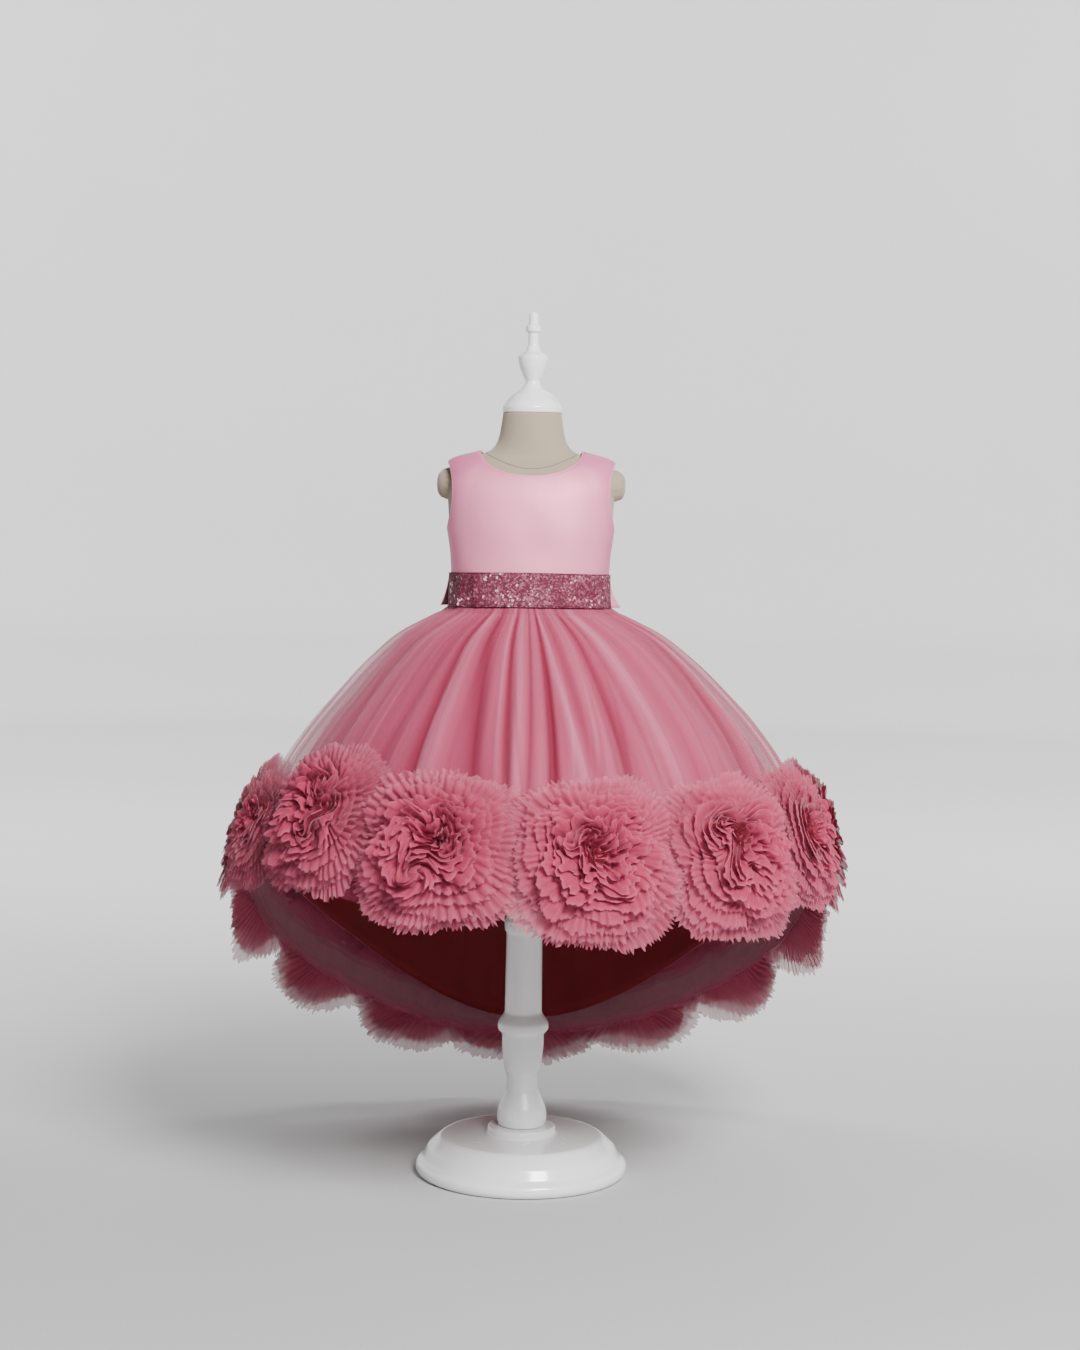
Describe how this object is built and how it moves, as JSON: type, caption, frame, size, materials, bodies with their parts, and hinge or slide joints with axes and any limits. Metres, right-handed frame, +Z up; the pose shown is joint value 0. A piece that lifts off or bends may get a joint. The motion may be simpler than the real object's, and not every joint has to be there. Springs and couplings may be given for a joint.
{
  "type": "child's ball gown on a dress form",
  "caption": "Small child's sleeveless high-low ball gown with glitter sash, full tulle skirt and ruffled hem rosettes, on a limbless dress form with a turned stand.",
  "frame": {"origin": "on the floor under the middle of the stand's round base, on the base's flat underside", "axes": "+Z up along the stand's post, the wearer's front towards -Y and left side towards +X"},
  "size_m": [0.8187, 0.8165, 1.0845],
  "materials": {
    "satin": "smooth duchess satin, soft pink sheen",
    "glitter": "ribbon covered with rose glitter",
    "tulle": "sheer gathered tulle",
    "lining": "opaque underskirt, rose satin outside and dark red inside",
    "ruffle": "crinkled raw-edged tulle frills",
    "linen": "off-white linen jersey stretched over the form",
    "white_paint": "turned wood, glossy white paint",
    "zip_tape": "concealed zip tape in the satin's pink"
  },
  "bodies": {
    "root": {"form_torso": "linen", "neck_cap": "white_paint", "post": "white_paint", "base": "white_paint", "bodice_front": "satin", "bodice_back_left": "satin", "bodice_back_right": "satin", "back_zip": "zip_tape", "sash_front": "glitter", "sash_end_left": "satin", "sash_end_right": "satin", "skirt_front": "tulle", "skirt_back": "tulle", "lining_front": "lining", "lining_back": "lining", "rosette_01": "ruffle", "rosette_02": "ruffle", "rosette_03": "ruffle", "rosette_04": "ruffle", "rosette_05": "ruffle", "rosette_06": "ruffle", "rosette_07": "ruffle", "rosette_08": "ruffle", "rosette_09": "ruffle", "rosette_10": "ruffle", "rosette_11": "ruffle", "rosette_12": "ruffle", "rosette_13": "ruffle", "rosette_14": "ruffle", "rosette_15": "ruffle"}
  },
  "joints": []
}
